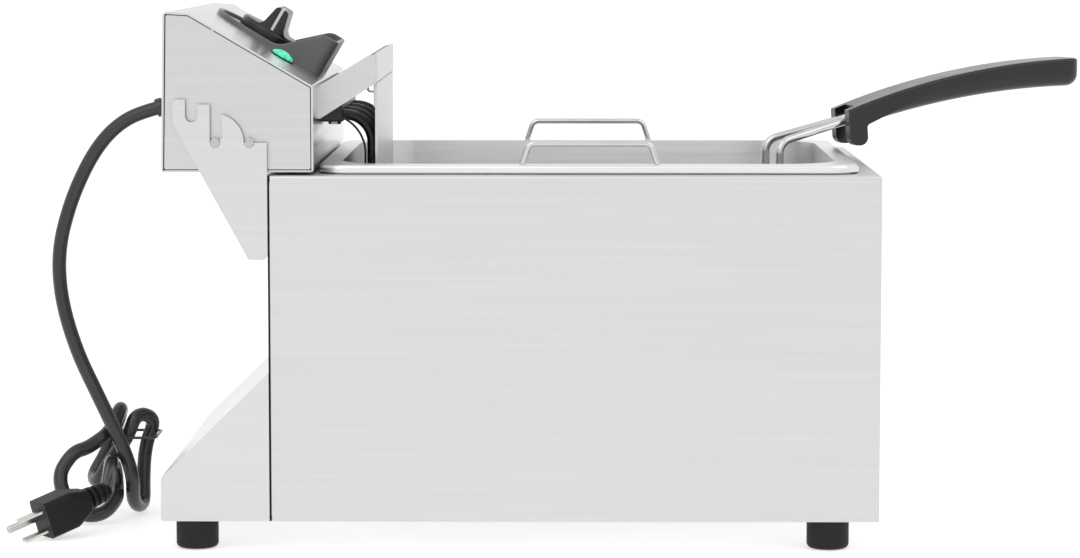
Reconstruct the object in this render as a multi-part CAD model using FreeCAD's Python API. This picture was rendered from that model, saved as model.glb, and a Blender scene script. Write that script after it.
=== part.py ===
import math
import os

import FreeCAD
import Part

from FreeCAD import Vector

# Countertop electric deep fryer, in millimetres.
# While it is drawn, X runs from the body's rear face towards the basket handle,
# Y across the body, Z up from the table. The finished part is moved along X so
# that its origin is under the middle of the fryer, on the table.

# Body casing
CASE_LENGTH = 365.0
CASE_WIDTH = 285.0
FOOT_HEIGHT = 17.5
CASE_TOP = 225.8
SHEET = 1.2
CASE_EDGE = 2.0
SEAM = 0.4
SEAM_DEPTH = 0.9
HALF = CASE_WIDTH / 2
AIR_SLOTS = 6
AIR_SLOT_X = 80.0
AIR_SLOT_PITCH = 40.0

# Oil tank, a half-size kitchen pan
TANK_LENGTH = 325.0
TANK_WIDTH = 265.0
TANK_DEPTH = 150.0
TANK_REAR = 28.0
TANK_RIM = 12.5
TANK_RIM_TOP = 231.4
TANK_LIP = 4.6
TANK_CORNER = 34.0
TANK_RIM_CORNER = 18.0
TANK_DRAFT = 6.0
TANK_WALL = 1.0
TANK_FRONT = TANK_REAR + TANK_LENGTH
COLLAR_INSET = 4.5

# Tank handles
HANDLE_WIRE = 3.6
HANDLE_Y = 127.0
HANDLE_FOOT_X = (150.3, 231.7)
HANDLE_TOP_X = (154.5, 227.5)
HANDLE_TOP_Z = 244.0
HANDLE_BEND = 5.0

# Rear stand and feet
STAND_REAR = -66.5
STAND_KNEE = 43.6
STAND_TOP = 107.4
FOOT_DIAMETER = 25.5
FOOT_X = (-46.0, 335.0)
FOOT_Y = 129.0
FOOT_WELL = 8.0

# Head, as a side profile of corners (X, Z) taken anticlockwise
HEAD_FRONT = 26.3
HEAD_FLOOR = 227.4
PANEL_TOP = (-47.5, 322.0)
PANEL_FOOT = (HEAD_FRONT, 278.8)
HEAD_CORNERS = [(-64.6, HEAD_FLOOR), (HEAD_FRONT, HEAD_FLOOR), PANEL_FOOT, PANEL_TOP, (-62.8, 322.9)]
HEAD_HALF = 139.8
HEAD_EDGE = 2.0
SIDE_PLATE_RECESS = 0.9
SIDE_PLATE_GAP = 0.6

# Pins of the head and the bracket seats that hold them
PIN_DIAMETER = 5.8
PIN_Z = 245.3
PIVOT_X = -32.1
LOCATING_X = -11.6
PIN_OUT = 143.4
SEAT_GAP = 0.1

# Slotted brackets: their outline and the slots between their teeth
BRACKET_SHEET = 1.5
BRACKET_REAR = -57.0
BRACKET_BOTTOM = 175.3
BRACKET_TOP = 271.0
BRACKET_STEP = 252.5
BRACKET_FLANGE = 24.0
LIFT_SLOT_X = (-49.7, -42.2)
LIFT_SLOT_FLOOR = 257.5
MIDDLE_TOOTH_TOP = 268.0
MIDDLE_TOOTH_FRONT = -27.9
SWING_TOOTH_X = (-20.0, -14.0)
SWING_GAP = 0.4

# Slanted control panel: U runs down the slope from its upper edge, W out of it
PANEL_ANGLE = math.degrees(math.atan2(PANEL_TOP[1] - PANEL_FOOT[1], PANEL_FOOT[0] - PANEL_TOP[0]))
KNOB_U = 40.5
KNOB_DIAMETER = 42.0
KNOB_HEIGHT = 23.3
KNOB_BASE = 8.5
SHAFT_DIAMETER = 6.0
SHAFT_HOLE = 10.0
GUARD_HALF = 34.0
GUARD_U = (4.0, 81.5)
GUARD_WALL = 2.4
GUARD_LOW = 3.0
GUARD_TALL = 23.5
GUARD_RISE_U = (49.0, 71.5)
GUARD_RIM = 0.9
LAMP_U = 57.0
LAMP_Y = -66.0
LAMP_DIAMETER = 16.0
LAMP_NECK = 12.0
LAMP_RISE = 3.6
LAMP_DOME = 11.0
BEZEL = 0.8

# Basket hanger and element guard in front of the head
ARM_Y = 100.0
HANGER_SHEET = 1.4
BAND_X = (60.6, 60.6 + HANGER_SHEET)
BAND_Z = (279.2, 296.7)
GUARD_PLATE_HALF = 93.0
GUARD_PLATE_BOTTOM = 205.0

# Heating elements
TUBE_DIAMETER = 6.4
TUBE_LEGS = (20.0, 60.0)
RISER_X = 57.0
TUBE_OUT_Z = 258.0
TUBE_BEND = 17.0
TUBE_RUN_Z = 99.0
TUBE_FRONT = 272.0
BLOCK_FRONT = 38.8
BLOCK_BOTTOM = 253.8
CAPILLARY = 1.4
CAPILLARY_Y = 65.6
CAPILLARY_Z = 258.5
CAPILLARY_BEND = 24.0
DROP_X = 53.0
BULB_DIAMETER = 6.0
BULB_X = (86.0, 166.0)

# Basket, drawn square to its own axes and then turned
BASKET_TURN = 15.0
BASKET_X = 205.6
BASKET_LENGTH = 210.0
BASKET_WIDTH = 150.0
BASKET_CORNER = 25.0
BASKET_TAPER = 12.0
BASKET_TOP = 212.0
BASKET_FOOT = 102.6
RIM_WIRE = 5.0
HOOP_WIRE = 4.0
MESH_THICK = 1.4
GRID_PITCH = 19.0
GRID_BAR = 3.6
GRID_ROWS = 5
GRID_LONG = 8
GRID_SHORT = 5
ROD_WIRE = 5.0
ROD_SPREAD = 14.5
ROD_A = 107.6
ROD_FOOT = 166.0
GRIP_WIDTH = 35.0
ROD_BEND_Z = 236.5
GRIP_A = (152.7, 312.8)
GRIP_SLOT = 19.0
GRIP_END_ROUND = 9.0
GRIP_BELLY_ROUND = 8.0
GRIP_CROWN_ROUND = 2.0

# Power cord: where it leaves the head, and the hand-chosen points of its lead and tail
CORD_DIAMETER = 9.0
RELIEF_LENGTH = 20.0
RELIEF_EXIT = Vector(-64.0, 0.0, 264.0)
RELIEF_TILT = 15.0
LEAD_POINTS = [
    (-95.9, 0.0, 255.4), (-108.0, 0.0, 248.3), (-118.6, 0.0, 237.8), (-128.9, 0.0, 221.8),
    (-139.6, -1.0, 197.2), (-146.8, -3.0, 168.5), (-145.0, -7.0, 138.0), (-134.5, -13.5, 105.0),
    (-119.0, -22.5, 76.0),
]

# The tied hank: each loop's bottom and top, and how far its sides stand to the near and the far side
HANK_START = (-102.5, -31.0, 44.0)
HANK_LOOPS = [
    ((-96.5, -8.0, 5.2), (-92.5, 2.0, 62.0)),
    ((-125.5, 0.0, 20.5), (-108.5, 1.0, 66.0)),
]
HANK_HALF = 10.8
TIE_X = (-121.0, -84.6)
TIE_Y = (-14.9, 20.6)
TIE_Z = 49.6
TIE_WIRE = 1.8

# The loose loop that the cord makes between the tie and the plug, and the plug
LOOSE_LOOP = [
    (-114.2, -19.0, 54.0), (-123.5, -27.5, 47.0), (-135.5, -36.5, 41.0), (-141.5, -43.0, 27.0),
    (-132.5, -48.0, 10.0), (-119.5, -48.6, 5.4), (-108.8, -38.0, 11.6), (-108.8, -23.0, 24.2),
    (-110.3, -35.5, 37.2),
]
TAIL_POINTS = [(-109.4, -47.0, 35.0), (-108.7, -58.0, 32.4), (-108.0, -68.5, 28.8)]
PLUG_REAR = Vector(-108.6, -78.5, 25.3)
PLUG_TURN = 216.0
PLUG_DROP = 17.0
PLUG_BODY = (31.0, 21.0, 23.0)
PLUG_NECK = 12.0
PLUG_RELIEF = 15.0


# Drawing helpers

def box(x, y, z):
    """A block between pairs of X, Y and Z."""
    return Part.makeBox(x[1] - x[0], y[1] - y[0], z[1] - z[0], Vector(x[0], y[0], z[0]))


def rod(start, end, diameter):
    """A round bar between two points."""
    start, end = Vector(start), Vector(end)
    return Part.makeCylinder(diameter / 2, (end - start).Length, start, end - start)


def corner_arc(before, corner, after, radius):
    """The start, middle and end of the arc that rounds a corner."""
    back = (before - corner).normalize()
    ahead = (after - corner).normalize()
    half = back.getAngle(ahead) / 2
    reach = radius / math.tan(half)
    inward = (back + ahead).normalize()
    centre = corner + inward * (radius / math.sin(half))
    return corner + back * reach, centre - inward * radius, corner + ahead * reach


def rounded_edges(points, radii, closed=False):
    """Straight runs through the points, with a tangent arc at each corner that has a radius."""
    count = len(points)
    spots = []
    for i, point in enumerate(points):
        ends = not closed and i in (0, count - 1)
        if ends or radii[i] <= 0:
            spots.append((point,))
        else:
            spots.append(corner_arc(points[i - 1], point, points[(i + 1) % count], radii[i]))
    edges = []
    for i, spot in enumerate(spots):
        if i or closed:
            last = spots[i - 1][-1]
            if (spot[0] - last).Length > 1e-6:
                edges.append(Part.LineSegment(last, spot[0]).toShape())
        if len(spot) == 3:
            edges.append(Part.Arc(*spot).toShape())
    return edges


def outline(corners, place):
    """A face from corners (p, q, radius), with place() giving each its point in space."""
    points = [place(p, q) for p, q, _ in corners]
    edges = rounded_edges(points, [radius for _, _, radius in corners], closed=True)
    return Part.Face(Part.Wire(Part.__sortEdges__(edges)))


def side_prism(corners, y0, y1):
    """A side outline (X, Z, radius) given thickness along Y."""
    return outline(corners, lambda x, z: Vector(x, y0, z)).extrude(Vector(0, y1 - y0, 0))


def plan_prism(corners, z0, z1):
    """A plan outline (X, Y, radius) given height along Z."""
    return outline(corners, lambda x, y: Vector(x, y, z0)).extrude(Vector(0, 0, z1 - z0))


def rectangle(x, y, radius):
    """The four rounded corners of a plan rectangle."""
    return [(x[0], y[0], radius), (x[1], y[0], radius), (x[1], y[1], radius), (x[0], y[1], radius)]


def pipe(edges, diameter):
    """A round bar along tangent edges."""
    path = Part.Wire(edges)
    first = path.OrderedEdges[0]
    start = path.OrderedVertexes[0].Point
    heading = first.tangentAt(first.FirstParameter)
    ring = Part.Wire(Part.makeCircle(diameter / 2, start, heading))
    bar = path.makePipeShell([ring], True, False)
    return bar if bar.ShapeType == "Solid" else Part.Solid(bar)


def bent_wire(points, diameter, bend):
    """A wire bent to one radius at every corner."""
    points = [Vector(point) for point in points]
    return pipe(rounded_edges(points, [bend] * len(points)), diameter)


def ring_wire(x, y, z, radius, diameter):
    """A closed wire round a plan rectangle, made of two halves."""
    middle = (x[0] + x[1]) / 2
    halves = []
    for near, far in ((y[0], y[1]), (y[1], y[0])):
        end = x[1] if near == y[0] else x[0]
        corners = [(middle, near, z), (end, near, z), (end, far, z), (middle, far, z)]
        halves.append(bent_wire(corners, diameter, radius))
    return halves[0].fuse(halves[1]).removeSplitter()


def inset(corners, distance):
    """An anticlockwise polygon drawn in by a distance."""
    shifted = []
    for i, corner in enumerate(corners):
        following = corners[(i + 1) % len(corners)]
        dx, dz = following[0] - corner[0], following[1] - corner[1]
        length = math.hypot(dx, dz)
        shift = (-dz / length * distance, dx / length * distance)
        shifted.append(((corner[0] + shift[0], corner[1] + shift[1]), (dx, dz)))
    result = []
    for i, (point, along) in enumerate(shifted):
        last, back = shifted[i - 1]
        cross = back[0] * along[1] - back[1] * along[0]
        gap = (point[0] - last[0], point[1] - last[1])
        share = (gap[0] * along[1] - gap[1] * along[0]) / cross
        result.append((last[0] + back[0] * share, last[1] + back[1] * share))
    return result


def with_radius(corners, radius):
    """The same radius at every corner of a polygon."""
    return [(p, q, radius) for p, q in corners]


def round_edges(shape, radius, chosen):
    """The shape with the chosen edges rounded."""
    return shape.makeFillet(radius, [edge for edge in shape.Edges if chosen(edge)])


def both_sides(shape):
    """The shape and its mirror image across the middle of the fryer."""
    return shape, shape.mirror(Vector(0, 0, 0), Vector(0, 1, 0))


def group(shapes):
    """Separate solids that share a node."""
    return Part.makeCompound(list(shapes))


def drilled(shape, screws):
    """The shape with holes where screws pass through it."""
    for screw in screws:
        shape = shape.cut(screw)
    return shape


def pan_screw(spot, direction, head, length, shank):
    """A pan-head screw whose head sits on a face, with the shank going in."""
    spot, direction = Vector(spot), Vector(direction)
    height = head * 0.35
    cap = Part.makeCylinder(head / 2, height, spot, direction)
    cap = round_edges(cap, height * 0.6, lambda e: (e.CenterOfMass - spot).dot(direction) > height * 0.9)
    bolt = cap.fuse(Part.makeCylinder(shank / 2, length, spot, direction * -1))
    slot = box((-head * 0.35, head * 0.35), (-head * 0.07, head * 0.07), (height * 0.6, height * 1.1))
    slot.Placement = FreeCAD.Placement(spot, FreeCAD.Rotation(Vector(0, 0, 1), direction))
    return bolt.cut(slot).removeSplitter()


def on_panel(shape):
    """A shape drawn with U, Y and W moved onto the slanted control panel."""
    moved = shape.copy()
    turn = FreeCAD.Rotation(Vector(0, 1, 0), PANEL_ANGLE)
    moved.Placement = FreeCAD.Placement(Vector(PANEL_TOP[0], 0, PANEL_TOP[1]), turn)
    return moved


def on_basket(shape):
    """A shape drawn along the basket's own axes, turned and moved to its place."""
    moved = shape.copy()
    turn = FreeCAD.Rotation(Vector(0, 0, 1), BASKET_TURN)
    moved.Placement = FreeCAD.Placement(Vector(BASKET_X, 0, 0), turn)
    return moved


# Body

def body_casing():
    """Front and sides in one sheet, with a top flange and a raised collar under the tank's rim."""
    shell = box((SEAM, CASE_LENGTH), (-HALF, HALF), (FOOT_HEIGHT, CASE_TOP))
    outer = lambda e: e.BoundBox.ZMax > CASE_TOP - 1e-3 and e.CenterOfMass.x > SEAM + 1e-3
    front = lambda e: e.BoundBox.XMin > CASE_LENGTH - 1e-3 and e.BoundBox.ZLength > 100
    shell = round_edges(shell, CASE_EDGE, lambda e: front(e) or (outer(e) and e.BoundBox.ZLength < 1e-3))
    inner_x = (SEAM - 1, CASE_LENGTH - SHEET)
    inner_y = (-HALF + SHEET, HALF - SHEET)
    shell = shell.cut(box(inner_x, inner_y, (FOOT_HEIGHT - 1, CASE_TOP - SHEET)))
    hole_x = (TANK_REAR + COLLAR_INSET, TANK_FRONT - COLLAR_INSET)
    hole_y = (-TANK_WIDTH / 2 + COLLAR_INSET, TANK_WIDTH / 2 - COLLAR_INSET)
    radius = TANK_RIM_CORNER - COLLAR_INSET
    shell = shell.cut(plan_prism(rectangle(hole_x, hole_y, radius), CASE_TOP - 5, CASE_TOP + 5))
    collar_top = TANK_RIM_TOP - TANK_WALL
    collar = plan_prism(rectangle(hole_x, hole_y, radius), CASE_TOP - SHEET, collar_top)
    bore_x = (hole_x[0] + SHEET, hole_x[1] - SHEET)
    bore_y = (hole_y[0] + SHEET, hole_y[1] - SHEET)
    bore = plan_prism(rectangle(bore_x, bore_y, radius - SHEET), CASE_TOP - 9, collar_top + 9)
    return shell.fuse(collar.cut(bore)).removeSplitter()


def rear_panel():
    """The rear wall, a little narrower than the casing, with flanges that run inside its sides."""
    reach = HALF - SEAM_DEPTH
    panel = box((-SHEET, 0), (-reach, reach), (FOOT_HEIGHT, CASE_TOP))
    for side in (-1, 1):
        edge = side * (HALF - SHEET)
        lips = sorted((edge, edge - side * SHEET))
        panel = panel.fuse(box((-SHEET, 16), lips, (FOOT_HEIGHT + 3, CASE_TOP - 4)))
    return panel.removeSplitter()


def base_plate():
    """The bottom plate, with rows of air slots."""
    reach = HALF - 2 * SHEET
    plate = box((1, CASE_LENGTH - SHEET), (-reach, reach), (FOOT_HEIGHT, FOOT_HEIGHT + SHEET))
    for row in range(AIR_SLOTS):
        x = AIR_SLOT_X + row * AIR_SLOT_PITCH
        slot = plan_prism(rectangle((x - 3, x + 3), (-45, 45), 2.9), FOOT_HEIGHT - 1, FOOT_HEIGHT + 3)
        plate = plate.cut(slot)
    return plate


def rear_stand():
    """The sloping box behind the body that carries the rear feet."""
    front, low = -SHEET, FOOT_HEIGHT
    profile = [(STAND_REAR, low), (front, low), (front, STAND_TOP), (STAND_REAR, STAND_KNEE)]
    outer = side_prism([(x, z, 2.0 if x < front - 1 else 0) for x, z in profile], -HALF, HALF)
    inside = (-HALF + SHEET, HALF - SHEET)
    hollow = side_prism(with_radius(inset(profile, SHEET), 0), *inside)
    opening = box((front - 2, front + 1), inside, (low + SHEET, STAND_TOP - 3))
    return outer.cut(hollow).cut(opening)


def foot(x, y):
    """A round rubber foot with a screw well in its underside."""
    pad = Part.makeCylinder(FOOT_DIAMETER / 2, FOOT_HEIGHT, Vector(x, y, 0))
    pad = round_edges(pad, 3.0, lambda e: e.BoundBox.ZMax < 1e-3)
    pad = pad.cut(Part.makeCylinder(4.6, FOOT_WELL, Vector(x, y, 0)))
    return pad.cut(Part.makeCylinder(2.05, FOOT_HEIGHT, Vector(x, y, 0)))


def foot_screw(x, y):
    """The screw that holds a foot, head down in its well, through the sheet above."""
    return pan_screw((x, y, FOOT_WELL), (0, 0, -1), 8.4, FOOT_HEIGHT - FOOT_WELL + SHEET + 4, 4.0)


def tank_loft(grow, top, bottom):
    """A drafted pan form, larger by grow all round."""
    rings = []
    for z, draft in ((top, 0.0), (bottom, TANK_DRAFT)):
        x = (TANK_REAR + TANK_RIM + draft - grow, TANK_FRONT - TANK_RIM - draft + grow)
        reach = TANK_WIDTH / 2 - TANK_RIM - draft + grow
        corners = rectangle(x, (-reach, reach), TANK_CORNER - draft / 2 + grow)
        rings.append(outline(corners, lambda p, q, z=z: Vector(p, q, z)).OuterWire)
    return Part.makeLoft(rings, True, True)


def oil_tank():
    """The lift-out pan, with a flat rim turned down at its outer edge."""
    bottom = TANK_RIM_TOP - TANK_DEPTH
    lowest = lambda z: lambda e: e.BoundBox.ZMax < z + 1e-3
    outer = round_edges(tank_loft(TANK_WALL, TANK_RIM_TOP, bottom), 13.0, lowest(bottom))
    floor = bottom + TANK_WALL
    inner = round_edges(tank_loft(0.0, TANK_RIM_TOP, floor), 12.0, lowest(floor))
    radius = TANK_RIM_CORNER
    rim_x, rim_y = (TANK_REAR, TANK_FRONT), (-TANK_WIDTH / 2, TANK_WIDTH / 2)
    rim = plan_prism(rectangle(rim_x, rim_y, radius), TANK_RIM_TOP - TANK_LIP, TANK_RIM_TOP)
    rim = round_edges(rim, 2.2, lambda e: e.BoundBox.ZMin > TANK_RIM_TOP - 1e-3)
    under_x = (rim_x[0] + TANK_WALL, rim_x[1] - TANK_WALL)
    under_y = (rim_y[0] + TANK_WALL, rim_y[1] - TANK_WALL)
    under = rectangle(under_x, under_y, radius - TANK_WALL)
    under = plan_prism(under, TANK_RIM_TOP - TANK_LIP - 1, TANK_RIM_TOP - TANK_WALL)
    return rim.cut(under).fuse(outer).cut(inner).removeSplitter()


def tank_handle(y):
    """A bent wire loop welded on the tank's rim."""
    foot_z = TANK_RIM_TOP
    points = [
        (HANDLE_FOOT_X[0], y, foot_z), (HANDLE_TOP_X[0], y, HANDLE_TOP_Z),
        (HANDLE_TOP_X[1], y, HANDLE_TOP_Z), (HANDLE_FOOT_X[1], y, foot_z),
    ]
    loop = bent_wire(points, HANDLE_WIRE, HANDLE_BEND)
    return loop.cut(box((100, 300), (y - 5, y + 5), (foot_z - 5, foot_z)))


def bracket():
    """The slotted plate on the near side, with a flange screwed to the rear panel."""
    seat = PIN_DIAMETER / 2 + SEAT_GAP
    sweep = LOCATING_X - PIVOT_X - PIN_DIAMETER / 2 - SWING_GAP
    stop = LOCATING_X + seat
    tooth_rear, tooth_front = SWING_TOOTH_X
    y = (-HALF, -HALF + BRACKET_SHEET)
    cut_y = (y[0] - 1, y[1] + 1)

    def hole(x, z, radius):
        return Part.makeCylinder(radius, cut_y[1] - cut_y[0], Vector(x, cut_y[0], z), Vector(0, 1, 0))

    corners = [
        (BRACKET_REAR, 256.6, 2), (-12.6, BRACKET_BOTTOM, 2), (-SHEET, BRACKET_BOTTOM, 3),
        (-SHEET, BRACKET_STEP, 0), (-6.8, BRACKET_STEP, 0), (stop, 248.5, 0), (stop, PIN_Z, 0),
        (tooth_rear, PIN_Z, 0), (tooth_rear, BRACKET_TOP, 0), (BRACKET_REAR, BRACKET_TOP, 2.5),
    ]
    plate = side_prism(corners, *y).fuse(box(SWING_TOOTH_X, y, (240, BRACKET_TOP)))
    swing = hole(PIVOT_X, PIN_Z, 60).cut(hole(PIVOT_X, PIN_Z, sweep))
    swing = swing.common(box((MIDDLE_TOOTH_FRONT, 20), cut_y, (PIN_Z, 300)))
    front = box((tooth_rear, stop), cut_y, (PIN_Z, 280)).cut(hole(PIVOT_X, PIN_Z, sweep))
    plate = plate.cut(swing).cut(front)
    for x in (LOCATING_X, PIVOT_X):
        plate = plate.cut(hole(x, PIN_Z, seat))
    plate = plate.cut(box((PIVOT_X - seat, MIDDLE_TOOTH_FRONT), cut_y, (PIN_Z + 2.5, 280)))
    plate = plate.cut(box((PIVOT_X - seat, PIVOT_X + seat), cut_y, (PIN_Z, 280)))
    plate = plate.cut(box((LIFT_SLOT_X[1], MIDDLE_TOOTH_FRONT), cut_y, (MIDDLE_TOOTH_TOP, 280)))
    rear, fore = LIFT_SLOT_X
    slot = [(rear, LIFT_SLOT_FLOOR, 3.6), (fore, LIFT_SLOT_FLOOR, 3.6), (fore, 280, 0), (rear, 280, 0)]
    plate = plate.cut(side_prism(slot, *cut_y))
    flange_y = (-HALF, -HALF + BRACKET_FLANGE)
    flange = box((-SHEET - BRACKET_SHEET, -SHEET), flange_y, (BRACKET_BOTTOM + 3, CASE_TOP - 2))
    return plate.fuse(flange).removeSplitter()


def bracket_screws():
    """Two screws through each bracket flange."""
    screws = []
    for side in (-1, 1):
        for z in (188.0, 211.0):
            spot = (-SHEET - BRACKET_SHEET, side * (HALF - 14), z)
            screws.append(pan_screw(spot, (-1, 0, 0), 8.0, BRACKET_SHEET + SHEET + 4, 4.0))
    return screws


# Control head

def head_wrap():
    """The folded sheet that makes the head's rear, top, sloping panel and front."""
    outer = side_prism(with_radius(HEAD_CORNERS, HEAD_EDGE), -HEAD_HALF, HEAD_HALF)
    hollow = inset(HEAD_CORNERS, SHEET)
    wrap = outer.cut(side_prism(with_radius(hollow, HEAD_EDGE - SHEET), -HEAD_HALF - 1, HEAD_HALF + 1))
    wide = (-HEAD_HALF - 1, HEAD_HALF + 1)
    wrap = wrap.cut(box((hollow[0][0], hollow[1][0]), wide, (HEAD_FLOOR - 1, HEAD_FLOOR + 3)))
    wrap = wrap.cut(on_panel(Part.makeCylinder(SHAFT_HOLE / 2, 10, Vector(KNOB_U, 0, -5))))
    wrap = wrap.cut(on_panel(Part.makeCylinder(LAMP_NECK / 2 + 0.2, 10, Vector(LAMP_U, LAMP_Y, -5))))
    return wrap.cut(relief_bore(7.2))


def relief_bore(radius):
    """The round hole in the head's rear that the strain relief goes through."""
    away = cord_heading()
    return Part.makeCylinder(radius, 24, RELIEF_EXIT - away * 12, away)


def head_side():
    """The near side plate, set back a little inside the wrap."""
    face = HEAD_HALF - SIDE_PLATE_RECESS
    corners = with_radius(inset(HEAD_CORNERS, SHEET + SIDE_PLATE_GAP), 1.0)
    return side_prism(corners, -face, -face + SHEET)


def head_base():
    """The floor of the head."""
    inside = inset(HEAD_CORNERS, SHEET)
    x = (inside[0][0] + 0.4, inside[1][0] - 0.4)
    reach = HEAD_HALF - SIDE_PLATE_RECESS - SHEET - 0.2
    return box(x, (-reach, reach), (HEAD_FLOOR, HEAD_FLOOR + SHEET))


def head_pin(x):
    """A domed pin standing out of the near side plate."""
    face = HEAD_HALF - SIDE_PLATE_RECESS
    pin = Part.makeCylinder(PIN_DIAMETER / 2, PIN_OUT - face, Vector(x, -PIN_OUT, PIN_Z), Vector(0, 1, 0))
    return round_edges(pin, 0.8, lambda e: e.CenterOfMass.y < -PIN_OUT + 0.1)


def head_screws():
    """Screws along the foot of the head's rear wall."""
    low, high = HEAD_CORNERS[0], HEAD_CORNERS[4]
    screws = []
    for y in (-105.0, -35.0, 35.0, 105.0):
        z = HEAD_FLOOR + 12
        x = low[0] + (z - low[1]) * (high[0] - low[0]) / (high[1] - low[1])
        screws.append(pan_screw((x, y, z), (-1, 0, 0), 6.4, 5.0, 3.2))
    return screws


# Controls, drawn on the panel with U, Y and W

def guard_form(shrink, height):
    """The guard's plan given height out of the panel: a half round at the upper end, square at the lower."""
    half = GUARD_HALF - shrink
    u0, u1 = GUARD_U[0] + shrink, GUARD_U[1] - shrink
    round_centre = u0 + half
    disc = Part.makeCylinder(half, height, Vector(round_centre, 0, 0))
    corner = max(6.0 - shrink, 1.0)
    corners = [(round_centre, -half, 0), (u1, -half, corner), (u1, half, corner), (round_centre, half, 0)]
    return disc.fuse(plan_prism(corners, 0, height)).removeSplitter()


def knob_guard():
    """A low wall round the knob that rises to a tall shield at the lower end."""
    wall = guard_form(0, GUARD_TALL).cut(guard_form(GUARD_WALL, GUARD_TALL))
    rise = [
        (0, 0, 0), (90, 0, 0), (90, GUARD_TALL, 0), (GUARD_RISE_U[1], GUARD_TALL, 9),
        (GUARD_RISE_U[0], GUARD_LOW, 12), (0, GUARD_LOW, 0),
    ]
    keep = side_prism(rise, -GUARD_HALF - 1, GUARD_HALF + 1)
    wall = wall.common(keep).removeSplitter()
    along_rim = lambda e: e.BoundBox.ZMin > 1 and e.Length > GUARD_WALL + 0.5
    return on_panel(round_edges(wall, GUARD_RIM, along_rim))


def dial_plate():
    """The pale dial inside the guard."""
    plate = guard_form(GUARD_WALL + 0.2, 0.6)
    return on_panel(plate.cut(Part.makeCylinder(SHAFT_HOLE / 2, 2, Vector(KNOB_U, 0, -0.5))))


def knob_body():
    """A round knob with a bell-shaped bar across it."""
    radius = KNOB_DIAMETER / 2
    base = Part.makeCylinder(radius, KNOB_BASE - 1.2, Vector(KNOB_U, 0, 1.2))
    base = round_edges(base, 2.5, lambda e: e.BoundBox.ZMin > KNOB_BASE - 0.1)
    bell = [
        (KNOB_U - 17, 2.0, 0), (KNOB_U + 17, 2.0, 0), (KNOB_U + 17, KNOB_BASE - 1.5, 0),
        (KNOB_U + 7.5, KNOB_BASE, 6), (KNOB_U + 4.1, KNOB_HEIGHT, 2.6), (KNOB_U - 4.1, KNOB_HEIGHT, 2.6),
        (KNOB_U - 7.5, KNOB_BASE, 6), (KNOB_U - 17, KNOB_BASE - 1.5, 0),
    ]
    bar = side_prism(bell, -radius, radius)
    bar = bar.common(Part.makeCylinder(radius - 0.4, KNOB_HEIGHT, Vector(KNOB_U, 0, 1.2)))
    knob = base.fuse(bar).removeSplitter()
    knob = knob.cut(Part.makeCylinder(SHAFT_DIAMETER / 2, 11.0, Vector(KNOB_U, 0, 1.2)))
    return knob


def knob_line():
    """The inlay along the knob's bar and down its end that shows where it points."""
    radius = KNOB_DIAMETER / 2
    u = (KNOB_U - 0.9, KNOB_U + 0.9)
    along = box(u, (-radius, -3.0), (KNOB_HEIGHT - 1.0, KNOB_HEIGHT))
    down = box(u, (-radius, -radius + 1.6), (KNOB_BASE, KNOB_HEIGHT))
    return along.fuse(down).removeSplitter().common(knob_body())


def thermostat():
    """The thermostat under the panel, with a running bore for its shaft."""
    case = box((KNOB_U - 20, KNOB_U + 20), (-21, 21), (-30, -SHEET - 0.1))
    case = round_edges(case, 2.0, lambda e: e.BoundBox.ZLength > 20)
    bore = Part.makeCylinder(SHAFT_DIAMETER / 2 + 0.05, 14, Vector(KNOB_U, 0, -12))
    return on_panel(case.cut(bore))


def thermostat_shaft():
    """The shaft from the thermostat up into the knob."""
    return on_panel(Part.makeCylinder(SHAFT_DIAMETER / 2, 24, Vector(KNOB_U, 0, -11.8)))


def lamp_lens():
    """The domed green lens of the pilot lamp."""
    radius = LAMP_DIAMETER / 2 - 1.2
    ball = Part.makeSphere(LAMP_DOME, Vector(LAMP_U, LAMP_Y, LAMP_RISE + BEZEL - LAMP_DOME))
    return on_panel(ball.common(Part.makeCylinder(radius, LAMP_RISE + 2, Vector(LAMP_U, LAMP_Y, BEZEL))))


def lamp_bezel():
    """The ring round the lens, with a neck through the panel."""
    ring = Part.makeCylinder(LAMP_DIAMETER / 2, BEZEL, Vector(LAMP_U, LAMP_Y, 0))
    neck = Part.makeCylinder(LAMP_NECK / 2, 24, Vector(LAMP_U, LAMP_Y, -24))
    return on_panel(ring.fuse(neck).removeSplitter())


# Pieces inside the head

def limiter():
    """The safety cut-out on the head's floor."""
    can = Part.makeCylinder(14, 18, Vector(-20, 70, HEAD_FLOOR + SHEET))
    tabs = box((-24, -16), (67, 73), (HEAD_FLOOR + SHEET + 18, HEAD_FLOOR + SHEET + 26))
    return can.fuse(tabs).removeSplitter()


def terminal_strip():
    """The block where the cord's wires are joined."""
    floor = HEAD_FLOOR + SHEET
    strip = box((-48, -30), (-80, -30), (floor, floor + 14))
    for i in range(4):
        y = -73 + i * 12
        strip = strip.cut(box((-50, -28), (y, y + 5), (floor + 9, floor + 15)))
    return strip


def interlock_switch():
    """The switch that cuts the power when the head is off its seat."""
    floor = HEAD_FLOOR + SHEET
    case = box((-2, 18), (96, 106), (floor, floor + 15))
    return case.fuse(box((14, 17), (99, 103), (floor + 15, floor + 17))).removeSplitter()


# Front of the head: hanger, guard plate and elements

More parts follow.
